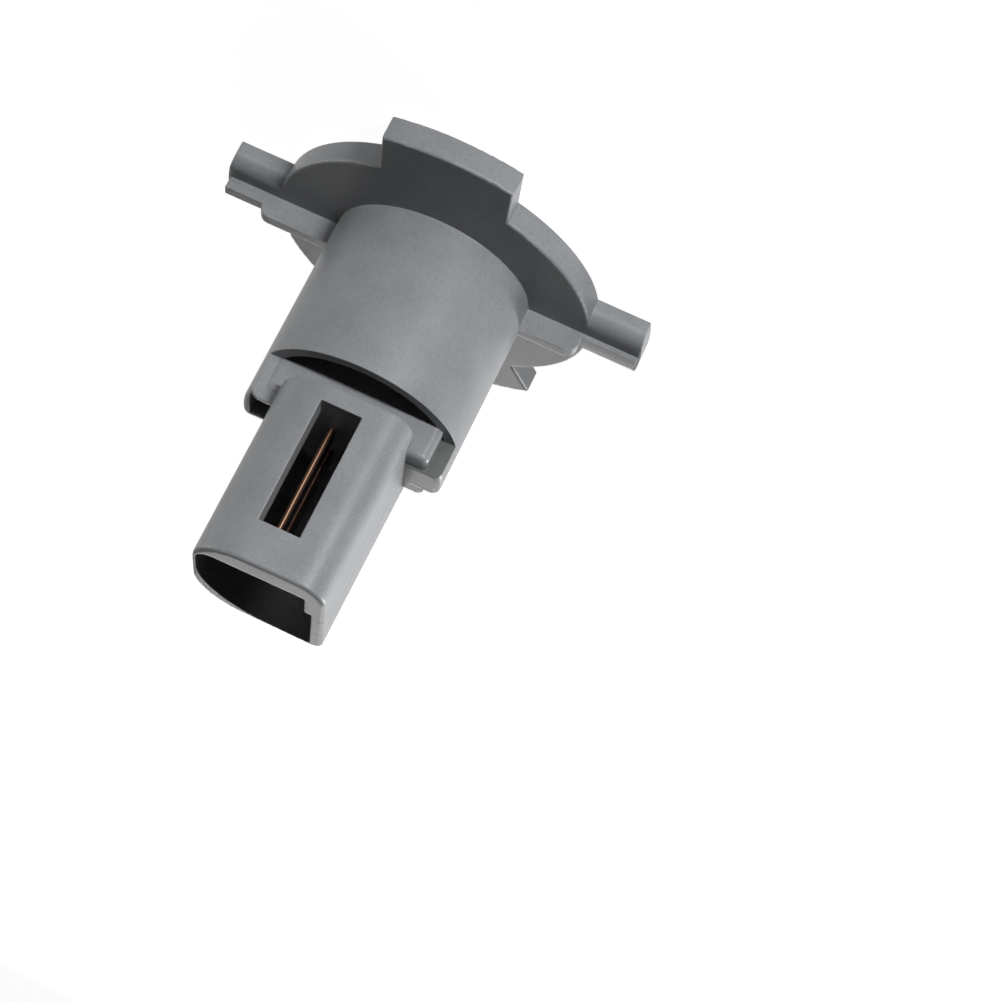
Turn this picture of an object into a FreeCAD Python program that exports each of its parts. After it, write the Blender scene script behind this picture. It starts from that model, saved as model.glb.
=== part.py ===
"""Twist-lock socket for a wedge-base number plate bulb.

The front face of the flange, where the bulb goes in, lies at z = 0. The barrel and the
cable connector stand above it along +Z. The wide locking tab points to -Y.
All sizes are in millimetres.
"""
import FreeCAD, Part
import math
import os

doc = FreeCAD.newDocument("plate_bulb_socket")

# Driving dimensions
sizes = {
    # flange and its locking tabs
    "disc_diameter": 25.0,
    "flange_thickness": 1.95,
    "flange_edge_radius": 0.18,
    "narrow_tab_span": 33.2,
    "narrow_tab_width": 5.6,
    "narrow_tab_edge_radius": 1.2,
    "wide_tab_reach": 16.35,
    "wide_tab_width": 9.8,
    "key_tab_reach": 16.0,
    "key_tab_root_width": 5.2,
    "key_tab_tip_width": 6.9,
    "key_tab_angle": 22.5,
    # stiffening fins on the back of the flange
    "fin_thickness": 1.0,
    "fin_rise": 1.8,
    "right_tab_fin_rise": 0.95,
    "left_tab_fin_rise": 0.4,
    "right_fin_reach": 13.4,
    "left_fin_reach": 12.1,
    "fin_nose_radius": 0.85,
    # round marks that the ejector pins leave on the front face
    "pin_mark_diameter": 2.9,
    "pin_mark_depth": 0.1,
    "pin_mark_circle": 18.3,
    # barrel and bore
    "barrel_diameter": 15.4,
    "barrel_end": 14.6,
    "bore_diameter": 13.7,
    "bulb_rib_width": 1.25,
    "bulb_rib_gap": 10.7,
    "bulb_rib_length": 6.0,
    "bulb_rib_shift": -0.3,
    # how far fittings sink into the bore's wall, and blocks and cuts run past a face they meet
    "bore_sink": 0.1,
    "overrun": 1.0,
    # holder for the wedge base of the bulb
    "holder_depth": 6.6,
    "holder_wall": 0.8,
    "holder_top": 5.0,
    "block_start": 12.6,
    "block_half_width": 6.43,
    "block_corner_radius": 0.6,
    "block_lap": 0.7,
    "block_end_radius": 0.4,
    "guide_inner_end": 1.2,
    "guide_outer_end": 4.8,
    "guide_top": 0.25,
    "post_width": 1.0,
    "post_inner_end": 3.7,
    "front_seat": 5.75,
    "front_seat_depth": 2.2,
    "notch_width": 3.1,
    "notch_clearance": 0.45,
    "slot_play": 0.3,
    "tooth_length": 1.25,
    "tooth_thickness": 0.4,
    # lugs that carry the barrel wall on beside the connector
    "wide_lug_front": -3.2,
    "wide_lug_back": 0.3,
    "wide_lug_lap": 1.5,
    "wide_lug_nose_radius": 0.8,
    "narrow_lug_front": -1.57,
    "narrow_lug_back": 1.3,
    "narrow_lug_lap": 0.9,
    "narrow_lug_nose_radius": 0.6,
    "lug_pocket_left": 5.15,
    "lug_pocket_right": 6.95,
    "lug_pocket_wall": 0.3,
    "lug_pocket_depth": 2.2,
    # connector shroud
    "shroud_start": 16.6,
    "mouth": 30.7,
    "shroud_left": 4.85,
    "shroud_right": 5.15,
    "shroud_near": 7.3,
    "shroud_far_root": 4.8,
    "shroud_far_mouth": 3.7,
    "shroud_far_skew": 0.35,
    "near_radius_wide": 4.1,
    "near_radius_narrow": 2.1,
    "far_radius_wide": 4.0,
    "far_radius_narrow": 0.8,
    "mouth_edge_radius": 0.3,
    "side_wall": 0.88,
    "thin_side_wall": 0.3,
    "near_wall": 2.15,
    "far_wall": 0.45,
    "end_wall": 1.25,
    "cavity_radius": 0.3,
    "cavity_near_radius": 1.6,
    "cavity_far_radius": 5.5,
    "key_step": 0.55,
    "key_step_length": 2.6,
    "window_width": 3.1,
    "window_shift": 0.03,
    "window_length": 9.75,
    # contact strips
    "strip_thickness": 0.4,
    "strip_bend_radius": 0.35,
    "clip_face": 6.15,
    "clip_depth": 4.9,
    "clip_top": 2.35,
    "clip_length": 9.4,
    "clip_throat": 1.9,
    "clip_throat_reach": 3.1,
    "clip_lip_reach": 0.75,
    "clip_shoulder": 1.3,
    "tongue_width": 2.2,
    "tongue_end": 0.2,
    "leg_width": 1.9,
    "run_level": 15.4,
    "run_margin": 1.5,
    "blade_place": 0.65,
    "blade_width": 1.9,
    "blade_pitch": 3.6,
    "blade_shift": -0.3,
    "blade_end": 27.0,
}

sheet = doc.addObject("Spreadsheet::Sheet", "Sizes")
for row, (alias, number) in enumerate(sizes.items(), start=1):
    sheet.set("A%d" % row, alias)
    sheet.set("B%d" % row, str(number))
    sheet.setAlias("B%d" % row, alias)
doc.recompute()


def size(alias):
    """The value of one cell of the sheet."""
    return float(getattr(sheet, alias))


def words_of(expression):
    """An expression with the sheet's name put before each of its words."""
    return expression.replace("$", "Sizes.")


def bind(thing, **expressions):
    """Tie properties of an object to expressions in the sheet's words."""
    for name, expression in expressions.items():
        thing.setExpression(name, words_of(expression))
    return thing


def box(name, left, right, front, back, low, high):
    """A block between six planes, each an expression."""
    block = doc.addObject("Part::Box", name)
    bind(block, Length="(%s) - (%s)" % (right, left),
         Width="(%s) - (%s)" % (back, front),
         Height="(%s) - (%s)" % (high, low))
    block.setExpression("Placement.Base.x", words_of(left))
    block.setExpression("Placement.Base.y", words_of(front))
    block.setExpression("Placement.Base.z", words_of(low))
    return block


def cylinder(name, radius, low, high):
    """A round bar on the Z axis between two levels."""
    bar = doc.addObject("Part::Cylinder", name)
    bind(bar, Radius=radius, Height="(%s) - (%s)" % (high, low))
    bar.setExpression("Placement.Base.z", words_of(low))
    return bar


def common(name, base, tool):
    """What two shapes share."""
    shared = doc.addObject("Part::Common", name)
    shared.Base = base
    shared.Tool = tool
    return shared


def fuse(name, shapes):
    """Several shapes as one."""
    joined = doc.addObject("Part::MultiFuse", name)
    joined.Shapes = shapes
    joined.Refine = True
    return joined


def cut(name, base, tool):
    """One shape with another taken away."""
    rest = doc.addObject("Part::Cut", name)
    rest.Base = base
    rest.Tool = tool
    return rest


def rounded(name, base, radius_alias, chosen):
    """The edges of a shape that a test chooses, rounded to one radius."""
    doc.recompute()
    smooth = doc.addObject("Part::Fillet", name)
    smooth.Base = base
    radius = size(radius_alias)
    picked = [place for place, edge in enumerate(base.Shape.Edges, start=1) if chosen(edge)]
    smooth.Edges = [(place, radius, radius) for place in picked]
    return smooth


def flat_at(edge, *levels):
    """Whether an edge lies whole in one of some horizontal planes."""
    span = edge.BoundBox
    return any(abs(span.ZMin - level) < 1e-4 and abs(span.ZMax - level) < 1e-4 for level in levels)


def outline(corners, level):
    """A closed wire of straight sides with a tangent arc of its own radius at each corner."""
    count = len(corners)
    starts = []
    ends = []
    middles = []
    for place in range(count):
        x, y, radius = corners[place]
        corner = FreeCAD.Vector(x, y, level)
        before = FreeCAD.Vector(corners[place - 1][0], corners[place - 1][1], level) - corner
        after_corner = corners[(place + 1) % count]
        after = FreeCAD.Vector(after_corner[0], after_corner[1], level) - corner
        before.normalize()
        after.normalize()
        half_turn = before.getAngle(after) / 2
        run = radius / math.tan(half_turn)
        bisector = (before + after).normalize()
        centre = corner + bisector * (radius / math.sin(half_turn))
        starts.append(corner + before * run)
        ends.append(corner + after * run)
        middles.append(centre - bisector * radius)
    edges = []
    for place in range(count):
        if (starts[place] - ends[place]).Length > 1e-6:
            edges.append(Part.Arc(starts[place], middles[place], ends[place]).toShape())
        following = starts[(place + 1) % count]
        if (following - ends[place]).Length > 1e-6:
            edges.append(Part.LineSegment(ends[place], following).toShape())
    return Part.Wire(edges)


def strip_corners(path, thickness, bend_radius):
    """The corners of a bent strip's section, from the middle line of the strip."""
    sides = {1: [], -1: []}
    last = len(path) - 1
    for place, point in enumerate(path):
        here = FreeCAD.Vector(point[0], point[1], 0)
        into = FreeCAD.Vector(*path[max(place, 1)], 0) - FreeCAD.Vector(*path[max(place, 1) - 1], 0)
        onward_start = min(place, last - 1)
        onward = FreeCAD.Vector(*path[onward_start + 1], 0) - FreeCAD.Vector(*path[onward_start], 0)
        into.normalize()
        onward.normalize()
        left_in = FreeCAD.Vector(-into.y, into.x, 0)
        left_on = FreeCAD.Vector(-onward.y, onward.x, 0)
        mitre = (left_in + left_on).normalize()
        reach = thickness / 2 / mitre.dot(left_in)
        turn = into.cross(onward).z
        for side in sides:
            corner = here + mitre * (reach * side)
            radius = 0.0
            if 0 < place < last:
                inside = turn * side > 0
                radius = bend_radius if inside else bend_radius + thickness
            sides[side].append((corner.x, corner.y, radius))
    return sides[1] + sides[-1][::-1]


# Flange: a disc with two narrow tabs, one wide tab and one flared key tab, moulded as one
disc = cylinder("disc", "$disc_diameter / 2", "0", "$flange_thickness")

narrow_bar = box("narrow_tab_bar", "-$narrow_tab_span", "$narrow_tab_span",
                 "-$narrow_tab_width / 2", "$narrow_tab_width / 2", "0", "$flange_thickness")
narrow_ramp = rounded("narrow_tab_ramp", narrow_bar, "narrow_tab_edge_radius",
                      lambda edge: flat_at(edge, size("flange_thickness"))
                      and abs(edge.BoundBox.YLength) < 1e-4)
narrow_round = cylinder("narrow_tab_round", "$narrow_tab_span / 2", "0", "$flange_thickness")
narrow_tabs = common("narrow_tabs", narrow_ramp, narrow_round)

wide_bar = box("wide_tab_bar", "-$wide_tab_width / 2", "$wide_tab_width / 2",
               "-$wide_tab_reach - $overrun", "0", "0", "$flange_thickness")
wide_round = cylinder("wide_tab_round", "$wide_tab_reach", "0", "$flange_thickness")
wide_tab = common("wide_tab", wide_bar, wide_round)

key_wedge = doc.addObject("Part::Wedge", "key_tab_wedge")
bind(key_wedge,
     Xmin="-$key_tab_root_width / 2", Xmax="$key_tab_root_width / 2",
     X2min="-$key_tab_tip_width / 2", X2max="$key_tab_tip_width / 2",
     Ymin="$barrel_diameter / 2", Ymax="$key_tab_reach + $overrun",
     Zmin="0", Zmax="$flange_thickness", Z2min="0", Z2max="$flange_thickness")
key_wedge.Placement.Rotation = FreeCAD.Rotation(FreeCAD.Vector(0, 0, 1), size("key_tab_angle"))
key_wedge.setExpression("Placement.Rotation.Angle", "Sizes.key_tab_angle")
key_round = cylinder("key_tab_round", "$key_tab_reach", "0", "$flange_thickness")
key_tab = common("key_tab", key_wedge, key_round)

flange_parts = [rounded(blank.Name + "_soft", blank, "flange_edge_radius",
                        lambda edge: flat_at(edge, 0, size("flange_thickness")))
                for blank in (disc, wide_tab, key_tab)]
flange_parts.append(rounded("narrow_tabs_soft", narrow_tabs, "flange_edge_radius",
                            lambda edge: flat_at(edge, 0)))

# Fins: a thin upright web along X behind both narrow tabs, high on the disc and low on the tab
tab_fins = []
for side, left, right in (("right", "0", "$narrow_tab_span"), ("left", "-$narrow_tab_span", "0")):
    tab_fin_top = "$flange_thickness + $%s_tab_fin_rise" % side
    tab_fin_bar = box("tab_fin_bar_" + side, left, right, "-$fin_thickness / 2",
                      "$fin_thickness / 2", "$flange_thickness / 2", tab_fin_top)
    tab_fin_round = cylinder("tab_fin_round_" + side,
                             "$narrow_tab_span / 2 - $flange_edge_radius", "0", tab_fin_top)
    tab_fins.append(common("tab_fin_" + side, tab_fin_bar, tab_fin_round))
high_fin_bar = box("fin_bar", "-$left_fin_reach", "$right_fin_reach",
                   "-$fin_thickness / 2", "$fin_thickness / 2",
                   "$flange_thickness / 2", "$flange_thickness + $fin_rise")
high_fin = rounded("fin", high_fin_bar, "fin_nose_radius",
                   lambda edge: flat_at(edge, size("flange_thickness") + size("fin_rise"))
                   and abs(edge.BoundBox.XLength) < 1e-4)

# Barrel: a thin tube from the flange towards the connector
barrel = cylinder("barrel", "$barrel_diameter / 2", "$flange_thickness / 2", "$barrel_end")
bore = cylinder("bore", "$bore_diameter / 2", "-$overrun", "$barrel_end + $overrun")
outside = fuse("outside", flange_parts + tab_fins + [high_fin, barrel])
shell = cut("shell", outside, bore)

# Ribs: two round-nosed ribs in the bore that steady the glass of the bulb
ribs = []
for name, turn in (("rib_back", 0), ("rib_front", 180)):
    nose = doc.addObject("Part::Cylinder", name + "_nose")
    bind(nose, Radius="$bulb_rib_width / 2", Height="$bulb_rib_length")
    nose.setExpression("Placement.Base.x", "Sizes.bulb_rib_shift")
    nose.setExpression("Placement.Base.y",
                       "(Sizes.bulb_rib_gap + Sizes.bulb_rib_width) / 2 * cos(%d)" % turn)
    stem = box(name + "_stem", "$bulb_rib_shift - $bulb_rib_width / 2",
               "$bulb_rib_shift + $bulb_rib_width / 2",
               "min(cos(%d); 0) * ($bore_diameter + $barrel_diameter) / 4" % turn
               + " + max(cos(%d); 0) * ($bulb_rib_gap + $bulb_rib_width) / 2" % turn,
               "max(cos(%d); 0) * ($bore_diameter + $barrel_diameter) / 4" % turn
               + " + min(cos(%d); 0) * ($bulb_rib_gap + $bulb_rib_width) / 2" % turn,
               "0", "$bulb_rib_length")
    ribs += [nose, stem]

# Holder: a slab across the bore, and a narrower block on it that joins the shroud to the barrel
holder_bar = box("holder_bar", "-$bore_diameter", "$bore_diameter",
                 "-$holder_depth / 2", "$holder_depth / 2", "$holder_top", "$block_start")
holder_round = cylinder("holder_round", "$bore_diameter / 2 + $bore_sink", "0", "$block_start")
holder = common("holder", holder_bar, holder_round)
block_end = size("shroud_start") + size("block_lap")
block_bar = box("block_bar", "-$block_half_width", "$block_half_width",
                "-$holder_depth / 2", "$holder_depth / 2",
                "$block_start - $overrun", "$shroud_start + $block_lap")
block_upright = rounded("block_upright", block_bar, "block_corner_radius",
                        lambda edge: edge.BoundBox.ZLength > size("holder_depth") / 2)
block = rounded("block", block_upright, "block_end_radius", lambda edge: flat_at(edge, block_end))

# Lugs: the barrel wall carried on beside the connector, wide on +X and narrow on -X
lugs = []
for kind, left, right in (
        ("wide", "$shroud_right - $thin_side_wall / 2", "$barrel_diameter"),
        ("narrow", "-$barrel_diameter", "-$shroud_left + $side_wall / 2")):
    lug_top = "$shroud_start + $%s_lug_lap" % kind
    lug_end = size("shroud_start") + size(kind + "_lug_lap")
    lug_round = cylinder(kind + "_lug_round", "$barrel_diameter / 2", "0", lug_top)
    lug_nose = rounded(kind + "_lug_nose", lug_round, kind + "_lug_nose_radius",
                       lambda edge: flat_at(edge, lug_end))
    lug_bar = box(kind + "_lug_bar", left, right, "$%s_lug_front" % kind, "$%s_lug_back" % kind,
                  "$barrel_end - $overrun", lug_top)
    lugs.append(common(kind + "_lug", lug_bar, lug_nose))

# Front of the holder: seats at both ends of the bulb's slot, guide walls, posts and teeth
front_parts = []
bore_fit = "$bore_diameter / 2 + $bore_sink"
for side, left, right in (("right", "$front_seat", "$bore_diameter"),
                          ("left", "-$bore_diameter", "-$front_seat")):
    seat_bar = box("seat_bar_" + side, left, right,
                   "-$holder_depth / 2 - $post_width / 2", "$holder_depth / 2 + $post_width / 2",
                   "0", "$front_seat_depth")
    seat = common("seat_" + side, seat_bar, cylinder("seat_round_" + side, bore_fit,
                                                     "0", "$front_seat_depth"))
    front_parts.append(seat)
for side, left, right in (("right", "$clip_face", "$bore_diameter"),
                          ("left", "-$bore_diameter", "-$clip_face")):
    back_bar = box("backing_bar_" + side, left, right,
                   "-$holder_depth / 2 - $post_width / 2", "$holder_depth / 2 + $post_width / 2",
                   "0", "$holder_top + $overrun")
    backing = common("backing_" + side, back_bar, cylinder("backing_round_" + side, bore_fit,
                                                           "0", "$holder_top + $overrun"))
    front_parts.append(backing)
for row, low, high in (("back", "$holder_depth / 2", "$holder_depth / 2 + $post_width"),
                       ("front", "-$holder_depth / 2 - $post_width", "-$holder_depth / 2")):
    for side, left, right in (("right", "$post_inner_end", "$bore_diameter"),
                              ("left", "-$bore_diameter", "-$post_inner_end")):
        tag = row + "_" + side
        post_bar = box("post_bar_" + tag, left, right, low, high, "0", "$holder_top + $overrun")
        post = common("post_" + tag, post_bar, cylinder("post_round_" + tag, bore_fit,
                                                        "0", "$holder_top + $overrun"))
        front_parts.append(post)
for row, low, high in (("back", "$holder_depth / 2 - $holder_wall", "$holder_depth / 2"),
                       ("front", "-$holder_depth / 2", "-$holder_depth / 2 + $holder_wall")):
    guide = box("guide_" + row, "-$guide_outer_end", "-$guide_inner_end", low, high,
                "$guide_top", "$holder_top + $overrun")
    link_left = box("guide_link_left_" + row, "-$clip_face - $bore_sink", "-$guide_outer_end",
                    low, high, "$front_seat_depth", "$holder_top + $overrun")
    front_parts += [guide, link_left]
for row, low, high in (("back", "$notch_width / 2", "$notch_width / 2 + $tooth_thickness"),
                       ("front", "-$notch_width / 2 - $tooth_thickness", "-$notch_width / 2")):
    for side, left, right in (("right", "$front_seat - $tooth_length", "$front_seat"),
                              ("left", "-$front_seat", "-$front_seat + $tooth_length")):
        tooth = box("tooth_%s_%s" % (row, side), left, right, low, high, "0", "$front_seat_depth")
        front_parts.append(tooth)

# Shroud of the connector: a lofted shell, deeper at its root, with corners of four radii
left_side = -size("shroud_left")
right_side = size("shroud_right")


def shroud_section(far, level):
    """The shroud's outside at one level."""
    return outline([
        (left_side, -size("shroud_near"), size("near_radius_narrow")),
        (right_side, -size("shroud_near"), size("near_radius_wide")),
        (right_side, far, size("far_radius_wide")),
        (left_side, far + size("shroud_far_skew"), size("far_radius_narrow")),
    ], level)


def cavity_section(far, level):
    """The shroud's inside at one level, with the step of the key in its near left corner."""
    left = left_side + size("side_wall")
    right = right_side - size("thin_side_wall")
    near = -size("shroud_near") + size("near_wall")
    back = far - size("far_wall")
    radius = size("cavity_radius")
    step_side = left + size("key_step")
    step_far = near + size("key_step_length")
    return outline([
        (step_side, near, radius),
        (right, near, size("cavity_near_radius")),
        (right, back, size("cavity_far_radius")),
        (left, back + size("shroud_far_skew"), radius),
        (left, step_far, radius / 2),
        (step_side, step_far, radius / 2),
    ], level)


def far_side(level):
    """How far the shroud reaches to +Y at a level."""
    share = (level - size("shroud_start")) / (size("mouth") - size("shroud_start"))
    root = size("shroud_far_root")
    return root + (size("shroud_far_mouth") - root) * share


floor_level = size("shroud_start") + size("end_wall")
over_mouth = size("mouth") + size("overrun")
shroud_block = doc.addObject("Part::Feature", "shroud_block")
shroud_block.Shape = Part.makeLoft(
    [shroud_section(far_side(size("shroud_start")), size("shroud_start")),
     shroud_section(far_side(size("mouth")), size("mouth"))], True, True)
shroud = rounded("shroud", shroud_block, "mouth_edge_radius",
                 lambda edge: flat_at(edge, size("mouth")))
cavity = doc.addObject("Part::Feature", "cavity")
cavity.Shape = Part.makeLoft(
    [cavity_section(far_side(floor_level), floor_level),
     cavity_section(far_side(over_mouth), over_mouth)], True, True)

window = box("window", "$window_shift - $window_width / 2", "$window_shift + $window_width / 2",
             "-$shroud_near - $overrun", "-$shroud_near + $near_wall + $overrun / 2",
             "$shroud_start + $end_wall", "$shroud_start + $end_wall + $window_length")

# Pockets: the slot for the bulb's base, the notches for the contacts and the lug's pocket
slot = box("slot", "-$clip_face", "$clip_face",
           "-$holder_depth / 2 + $holder_wall", "$holder_depth / 2 - $holder_wall",
           "$front_seat_depth", "$clip_top + $clip_length + $slot_play")
notch = box("notch", "-$clip_face - $notch_clearance", "$clip_face + $notch_clearance",
            "-$notch_width / 2", "$notch_width / 2", "-$overrun", "$front_seat_depth")
lug_pocket = box("lug_pocket", "$lug_pocket_left", "$lug_pocket_right",
                 "$wide_lug_front + $lug_pocket_wall", "$wide_lug_back - $lug_pocket_wall",
                 "$shroud_start + $wide_lug_lap - $lug_pocket_depth",
                 "$shroud_start + $wide_lug_lap + $overrun")

marks = []
for place, angle in enumerate((0, 120, 180, 240, 300)):
    mark = cylinder("pin_mark_%d" % place, "$pin_mark_diameter / 2", "-$overrun", "$pin_mark_depth")
    mark.setExpression("Placement.Base.x", "Sizes.pin_mark_circle / 2 * cos(%d)" % angle)
    mark.setExpression("Placement.Base.y", "Sizes.pin_mark_circle / 2 * sin(%d)" % angle)
    marks.append(mark)


# Contacts: each is one bent strip with a clip for the bulb's base and a blade in the connector
def contact(name, side, blade_middle, tongue):
    """A contact on one side of the bulb, with its blade at one place across the connector."""
    thickness = size("strip_thickness")
    bend = size("strip_bend_radius")
    web = side * (size("clip_face") - thickness / 2)
    arm = size("clip_depth") / 2 - thickness / 2
    throat = size("clip_throat") / 2 + thickness / 2
    throat_x = side * size("clip_throat_reach")
    lip_x = side * (size("clip_throat_reach") - size("clip_lip_reach"))
    shoulder_x = web - side * size("clip_shoulder")
    path = [(lip_x, throat + size("clip_lip_reach") / 2), (throat_x, throat), (shoulder_x, arm),
            (web, arm), (web, -arm), (shoulder_x, -arm), (throat_x, -throat),
            (lip_x, -throat - size("clip_lip_reach") / 2)]
    section = Part.Face(outline(strip_corners(path, thickness, bend), size("clip_top")))
    clip = section.extrude(FreeCAD.Vector(0, 0, size("clip_length")))

    run = size("run_level")
    blade_x = size("blade_place")
    leg_path = [(web, size("clip_top") + size("clip_length") / 2), (web, run),
                (blade_x, run), (blade_x, size("blade_end"))]
    corners = strip_corners(leg_path, thickness, bend)
    upright = Part.Face(outline(corners, 0))
    upright.rotate(FreeCAD.Vector(0, 0, 0), FreeCAD.Vector(1, 0, 0), 90)
    leg_half = size("leg_width") / 2
    blade_low = blade_middle - size("blade_width") / 2
    blade_high = blade_middle + size("blade_width") / 2
    lowest = min(-leg_half, blade_low)
    highest = max(leg_half, blade_high)
    upright.translate(FreeCAD.Vector(0, highest, 0))
    bent = upright.extrude(FreeCAD.Vector(0, lowest - highest, 0))
    tall = size("blade_end") * 2
    far = size("bore_diameter")
    leg_edge = web - side * size("run_margin")
    leg_zone = Part.makeBox(far, 2 * leg_half, tall,
                            FreeCAD.Vector(min(leg_edge, leg_edge + side * far), -leg_half, 0))
    run_edge = blade_x + side * size("run_margin")
    run_zone = Part.makeBox(abs(leg_edge - run_edge), highest - lowest, tall,
                            FreeCAD.Vector(min(leg_edge, run_edge), lowest, 0))
    blade_zone = Part.makeBox(2 * size("run_margin"), blade_high - blade_low, tall,
                              FreeCAD.Vector(blade_x - size("run_margin"), blade_low, 0))
    zones = leg_zone.fuse([run_zone, blade_zone])
    pieces = [bent.common(zones)]
    if tongue:
        tongue_height = size("clip_top") + size("overrun") - size("tongue_end")
        pieces.append(Part.makeBox(thickness, size("tongue_width"), tongue_height,
                                   FreeCAD.Vector(web - thickness / 2, -size("tongue_width") / 2,
                                                  size("tongue_end"))))
    strip = doc.addObject("Part::Feature", name)
    strip.Shape = clip.fuse(pieces).removeSplitter()
    strip.Label = name
    return strip


near_contact = contact("near_contact", -1, size("blade_shift") - size("blade_pitch") / 2, True)
far_contact = contact("far_contact", 1, size("blade_shift") + size("blade_pitch") / 2, False)

# Housing: all of the above as one moulding
moulding = fuse("moulding",
                [shell, holder, block, shroud] + lugs + ribs + front_parts)
spaces = fuse("spaces", [cavity, window, slot, notch, lug_pocket] + marks)
open_moulding = cut("open_moulding", moulding, spaces)
strips = fuse("strips", [near_contact, far_contact])
housing = cut("housing", open_moulding, strips)
housing.Label = "housing"

doc.recompute()

nodes = [housing, near_contact, far_contact]
for thing in doc.Objects:
    if {"Invalid", "Error"} & set(thing.State):
        raise RuntimeError("%s failed: %s" % (thing.Name, thing.State))
for node in nodes:
    if node.Shape.isNull() or not node.Shape.isValid():
        raise RuntimeError("%s has no valid shape" % node.Label)
    if len(node.Shape.Solids) != 1:
        raise RuntimeError("%s has %d solids" % (node.Label, len(node.Shape.Solids)))

os.makedirs("parts", exist_ok=True)
for node in nodes:
    node.Shape.exportStep("parts/%s.step" % node.Label)
    span = node.Shape.BoundBox
    print("%s: volume %.1f mm3, %.2f x %.2f x %.2f mm" % (
        node.Label, node.Shape.Volume, span.XLength, span.YLength, span.ZLength))
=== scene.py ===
import math

import bpy
import bmesh
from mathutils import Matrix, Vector

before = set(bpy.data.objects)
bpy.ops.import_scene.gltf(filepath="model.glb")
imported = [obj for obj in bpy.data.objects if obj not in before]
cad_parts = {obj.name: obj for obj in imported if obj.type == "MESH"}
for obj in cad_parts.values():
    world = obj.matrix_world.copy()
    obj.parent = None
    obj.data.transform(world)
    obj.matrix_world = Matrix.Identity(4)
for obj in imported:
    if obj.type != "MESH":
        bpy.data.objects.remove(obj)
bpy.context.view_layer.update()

MM = 0.001


# Housing: the flange, barrel, bulb holder and connector shroud are one injection moulding in
# grey glass-filled nylon, out of a steel mould that was spark-eroded. Nothing is fixed to it: the
# contacts are pressed into it, and a twist locks it in the lamp.
def linear(hex_colour):
    """An sRGB hex colour as the linear colour that a shader takes."""
    channels = [int(hex_colour[place:place + 2], 16) / 255 for place in (1, 3, 5)]
    return [value / 12.92 if value <= 0.04045 else ((value + 0.055) / 1.055) ** 2.4
            for value in channels] + [1.0]


def add_node(tree, kind, inputs=None, **settings):
    """One node with its settings, and its inputs given as values or as the sockets they link to."""
    node = tree.nodes.new(kind)
    for name, value in settings.items():
        setattr(node, name, value)
    for name, value in (inputs or {}).items():
        socket = node.inputs[name]
        if isinstance(value, bpy.types.NodeSocket):
            tree.links.new(value, socket)
        else:
            socket.default_value = value
    return node


def colour_of(mix):
    """The colour socket that a Mix node gives."""
    return [out for out in mix.outputs if out.type == "RGBA"][0]


# Spark-eroded nylon has an even matt grain, cloudy where the glass fibres lie differently. Its
# edges are painted lighter, a painted highlight where light catches them. The real grain is about
# 0.05 mm, and is drawn at 0.22 mm so that it shows.
GRAIN_SIZE = 0.22 * MM
GRAIN_HEIGHT = 0.016 * MM
GRAIN_STRENGTH = 0.7
GRAIN_SHARE = 0.5
FLOW_SIZE = 3.5 * MM
EDGE_ROUNDING = 0.16 * MM
EDGE_LEAST_TURN = 0.995
EDGE_FULL_TURN = 0.80
EDGE_HIGHLIGHT_SHARE = 0.75

# Two slides of the mould closed on the shroud's -X side, and left two fine lines along it.
PARTING_LINES = (1.0 * MM, -1.57 * MM)
PARTING_HALF_WIDTH = 0.08 * MM
PARTING_START = 14.6 * MM
PARTING_SIDE = -4.3 * MM

nylon = bpy.data.materials.new("grey_nylon_spark_eroded")
nylon.use_nodes = True
tree = nylon.node_tree
shader = tree.nodes["Principled BSDF"]
place = add_node(tree, "ShaderNodeTexCoord").outputs["Object"]
grain = add_node(tree, "ShaderNodeTexNoise",
                 {"Vector": place, "Scale": 1 / GRAIN_SIZE, "Detail": 2.0, "Roughness": 0.6})
flow = add_node(tree, "ShaderNodeTexNoise",
                {"Vector": place, "Scale": 1 / FLOW_SIZE, "Detail": 3.0, "Roughness": 0.55})
mottle = add_node(tree, "ShaderNodeMix",
                  {"Factor": GRAIN_SHARE, "A": flow.outputs["Fac"], "B": grain.outputs["Fac"]},
                  data_type="FLOAT")
tone = add_node(tree, "ShaderNodeMix",
                {"Factor": mottle.outputs["Result"], "A": linear("#5D5F62"),
                 "B": linear("#95979A")}, data_type="RGBA")
soft_edges = add_node(tree, "ShaderNodeBevel", {"Radius": EDGE_ROUNDING}, samples=4)
bump = add_node(tree, "ShaderNodeBump",
                {"Height": grain.outputs["Fac"], "Distance": GRAIN_HEIGHT,
                 "Strength": GRAIN_STRENGTH, "Normal": soft_edges.outputs["Normal"]})
flat = add_node(tree, "ShaderNodeNewGeometry").outputs["Normal"]
turned = add_node(tree, "ShaderNodeVectorMath", {0: soft_edges.outputs["Normal"], 1: flat},
                  operation="DOT_PRODUCT")
# Painted highlight: the colour turns lighter where the softened edges turn the normal away from the
# flat face.
edge = add_node(tree, "ShaderNodeMapRange",
                {"Value": turned.outputs["Value"], "From Min": EDGE_LEAST_TURN,
                 "From Max": EDGE_FULL_TURN, "To Min": 0.0, "To Max": EDGE_HIGHLIGHT_SHARE})
edge_highlighted = add_node(tree, "ShaderNodeMix",
                 {"Factor": edge.outputs["Result"], "A": colour_of(tone), "B": linear("#A6A9A8")},
                 data_type="RGBA")
spot = add_node(tree, "ShaderNodeSeparateXYZ", {0: place})
near_line, far_line = [add_node(tree, "ShaderNodeMath",
                                {0: spot.outputs["Y"], 1: line, 2: PARTING_HALF_WIDTH},
                                operation="COMPARE").outputs[0] for line in PARTING_LINES]
lines = add_node(tree, "ShaderNodeMath", {0: near_line, 1: far_line}, operation="MAXIMUM")
above = add_node(tree, "ShaderNodeMath", {0: spot.outputs["Z"], 1: PARTING_START},
                 operation="GREATER_THAN")
beside = add_node(tree, "ShaderNodeMath", {0: spot.outputs["X"], 1: PARTING_SIDE},
                  operation="LESS_THAN")
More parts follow.
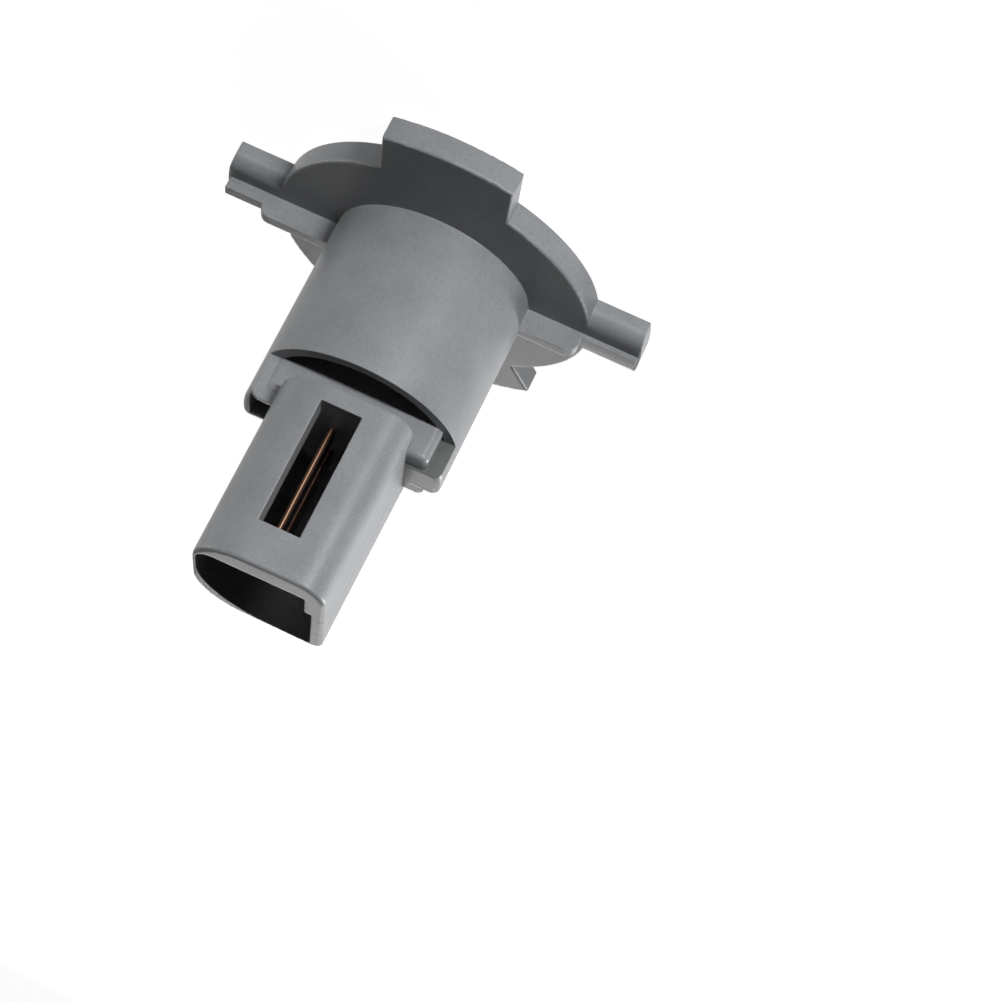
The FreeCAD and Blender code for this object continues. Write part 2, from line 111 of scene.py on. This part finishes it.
side_above = add_node(tree, "ShaderNodeMath", {0: above.outputs[0], 1: beside.outputs[0]},
                      operation="MULTIPLY")
parted = add_node(tree, "ShaderNodeMath", {0: lines.outputs[0], 1: side_above.outputs[0]},
                  operation="MULTIPLY")
skin = add_node(tree, "ShaderNodeMix",
                {"Factor": parted.outputs[0], "A": colour_of(edge_highlighted), "B": linear("#4E5150")},
                data_type="RGBA")
tree.links.new(colour_of(skin), shader.inputs["Base Color"])
tree.links.new(bump.outputs["Normal"], shader.inputs["Normal"])
shader.inputs["IOR"].default_value = 1.53
shader.inputs["Roughness"].default_value = 0.42

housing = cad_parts["housing"]
housing.data.materials.clear()
housing.data.materials.append(nylon)


# Contacts: two strips of copper alloy, stamped and bent, and pushed into the moulding from the
# bulb side. Each ends in a spring clip for the bulb's base and a flat blade in the connector.

# The rolled faces are drawn dark brown in random patches. A thin bright band along the middle of a
# blade is a painted highlight, so that a thin line of copper shows through the window.
DARK_PATCH_SIZE = 1.5 * MM
BLADE_MIDDLE = 0.65 * MM
BLADE_START = 17.2 * MM
GLINT_HALF_WIDTH = 0.045 * MM

copper = bpy.data.materials.new("copper_alloy_rolled_strip")
copper.use_nodes = True
tree = copper.node_tree
shader = tree.nodes["Principled BSDF"]
place = add_node(tree, "ShaderNodeTexCoord").outputs["Object"]
dark_patches = add_node(tree, "ShaderNodeTexNoise",
                   {"Vector": place, "Scale": 1 / DARK_PATCH_SIZE, "Detail": 3.0})
# The faces are drawn dark brown, in random patches.
tone = add_node(tree, "ShaderNodeMix",
                {"Factor": dark_patches.outputs["Fac"], "A": linear("#2A1F19"),
                 "B": linear("#4A372B")}, data_type="RGBA")
spot = add_node(tree, "ShaderNodeSeparateXYZ", {0: place})
# Painted highlight: a thin bright band along each blade's middle, above the blade's start.
band = add_node(tree, "ShaderNodeMath",
                {0: spot.outputs["X"], 1: BLADE_MIDDLE, 2: GLINT_HALF_WIDTH},
                operation="COMPARE")
blade = add_node(tree, "ShaderNodeMath", {0: spot.outputs["Z"], 1: BLADE_START},
                 operation="GREATER_THAN")
painted_glint = add_node(tree, "ShaderNodeMath", {0: band.outputs[0], 1: blade.outputs[0]},
                     operation="MULTIPLY")
glinted = add_node(tree, "ShaderNodeMix",
                  {"Factor": painted_glint.outputs[0], "A": colour_of(tone),
                   "B": linear("#D3A88A")}, data_type="RGBA")
tree.links.new(colour_of(glinted), shader.inputs["Base Color"])
shader.inputs["Metallic"].default_value = 1.0
shader.inputs["Roughness"].default_value = 0.36

for name in ("near_contact", "far_contact"):
    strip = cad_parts[name]
    strip.data.materials.clear()
    strip.data.materials.append(copper)


# Floor: a plain white sheet just under the part. The camera, and gloss on the part, see it white,
# and it takes the part's shadow. From below, and for rays off the face that lies on it, it is
# clear, so that the front face can be looked at from under the floor.
FLOOR_SIDE = 4.0
FLOOR_GAP = 0.01 * MM
TOUCHING_LENGTH = 0.1 * MM
SEEN_WHITE = 0.92

sheet = bmesh.new()
bmesh.ops.create_grid(sheet, x_segments=1, y_segments=1, size=FLOOR_SIDE / 2)
mesh = bpy.data.meshes.new("floor")
sheet.to_mesh(mesh)
sheet.free()
floor = bpy.data.objects.new("floor", mesh)
floor.location.z = -FLOOR_GAP
bpy.context.scene.collection.objects.link(floor)

paper = bpy.data.materials.new("white_paper")
paper.use_nodes = True
tree = paper.node_tree
shader = tree.nodes["Principled BSDF"]
shader.inputs["Base Color"].default_value = linear("#E8E8E8")
shader.inputs["Roughness"].default_value = 0.9
rays = add_node(tree, "ShaderNodeLightPath")
seen = add_node(tree, "ShaderNodeMath",
                {0: rays.outputs["Is Camera Ray"], 1: rays.outputs["Is Glossy Ray"]},
                operation="MAXIMUM")
level = add_node(tree, "ShaderNodeMath", {0: seen.outputs[0], 1: SEEN_WHITE},
                 operation="MULTIPLY")
white = add_node(tree, "ShaderNodeEmission",
                 {"Color": linear("#FFFFFF"), "Strength": level.outputs[0]})
lit = add_node(tree, "ShaderNodeAddShader", {0: shader.outputs[0], 1: white.outputs[0]})
touching = add_node(tree, "ShaderNodeMath",
                    {0: rays.outputs["Ray Length"], 1: TOUCHING_LENGTH}, operation="LESS_THAN")
from_below = add_node(tree, "ShaderNodeNewGeometry").outputs["Backfacing"]
passed = add_node(tree, "ShaderNodeMath", {0: from_below, 1: touching.outputs[0]},
                  operation="MAXIMUM")
clear = add_node(tree, "ShaderNodeBsdfTransparent")
surface = add_node(tree, "ShaderNodeMixShader",
                   {0: passed.outputs[0], 1: lit.outputs[0], 2: clear.outputs[0]})
tree.links.new(surface.outputs[0], tree.nodes["Material Output"].inputs["Surface"])
floor.data.materials.append(paper)


# Studio: a plain pale room that gloss mirrors, and five soft lamps low down all round. They light
# the upright faces and leave the bore and the connector's inside dark. Under the floor the room is
# evenly lit, for the front face alone.
UNDER_LEVEL = 0.6
ROOM_GLOSS = 0.50

world = bpy.data.worlds.new("studio")
world.use_nodes = True
bpy.context.scene.world = world
tree = world.node_tree
background = tree.nodes["Background"]
rays = add_node(tree, "ShaderNodeLightPath")
direction = add_node(tree, "ShaderNodeTexCoord").outputs["Generated"]
way = add_node(tree, "ShaderNodeSeparateXYZ", {0: direction})
under = add_node(tree, "ShaderNodeMath", {0: way.outputs["Z"], 1: 0.0}, operation="LESS_THAN")
level = add_node(tree, "ShaderNodeMath", {0: under.outputs[0], 1: UNDER_LEVEL},
                 operation="MULTIPLY")
glossed = add_node(tree, "ShaderNodeMix",
                   {"Factor": rays.outputs["Is Glossy Ray"], "A": level.outputs[0],
                    "B": ROOM_GLOSS}, data_type="FLOAT")
strength = add_node(tree, "ShaderNodeMix",
                    {"Factor": rays.outputs["Is Camera Ray"], "A": glossed.outputs["Result"],
                     "B": 1.0}, data_type="FLOAT")
background.inputs["Color"].default_value = linear("#FFFFFF")
tree.links.new(strength.outputs["Result"], background.inputs["Strength"])

LAMP_DISTANCE = 0.45
LAMP_AIM = Vector((0.0, 0.0, 14 * MM))
LOW = 0.016
FLAT = 0.03


def soft_lamp(name, degrees, watts, width=0.16, depth=FLAT, height=LOW):
    """A soft box that stands round the part, turned from -Y towards -X, and faces its middle."""
    light = bpy.data.lights.new(name, "AREA")
    light.shape = "RECTANGLE"
    light.size = width
    light.size_y = depth
    light.energy = watts
    lamp = bpy.data.objects.new(name, light)
    angle = math.radians(degrees)
    lamp.location = (-LAMP_DISTANCE * math.sin(angle), -LAMP_DISTANCE * math.cos(angle), height)
    lamp.rotation_euler = (LAMP_AIM - lamp.location).to_track_quat("-Z", "Y").to_euler()
    lamp.visible_camera = False
    bpy.context.scene.collection.objects.link(lamp)


soft_lamp("key", degrees=28, watts=1.8, width=0.12)
soft_lamp("front", degrees=-10, watts=0.25)
soft_lamp("left", degrees=126, watts=1.6)
soft_lamp("right", degrees=-95, watts=0.5)
soft_lamp("back", degrees=180, watts=0.50, width=0.20, depth=0.05, height=0.070)


# Camera: it stands where the photograph was taken from, and is rolled as the part lies in the
# picture. Its place, turn and lens were fitted to the part's edges.
CAMERA_PLACE = Vector((-25.31, -168.62, 82.56)) * MM
CAMERA_TURN = (-66.451, 24.120, -174.431)
LENS = 92.07

view = bpy.data.cameras.new("camera")
view.sensor_width = 36.0
view.lens = LENS
view.clip_start = 0.01
camera = bpy.data.objects.new("camera", view)
camera.location = CAMERA_PLACE
camera.rotation_euler = [math.radians(angle) for angle in CAMERA_TURN]
bpy.context.scene.collection.objects.link(camera)
bpy.context.scene.camera = camera
bpy.context.scene.view_settings.view_transform = "Standard"
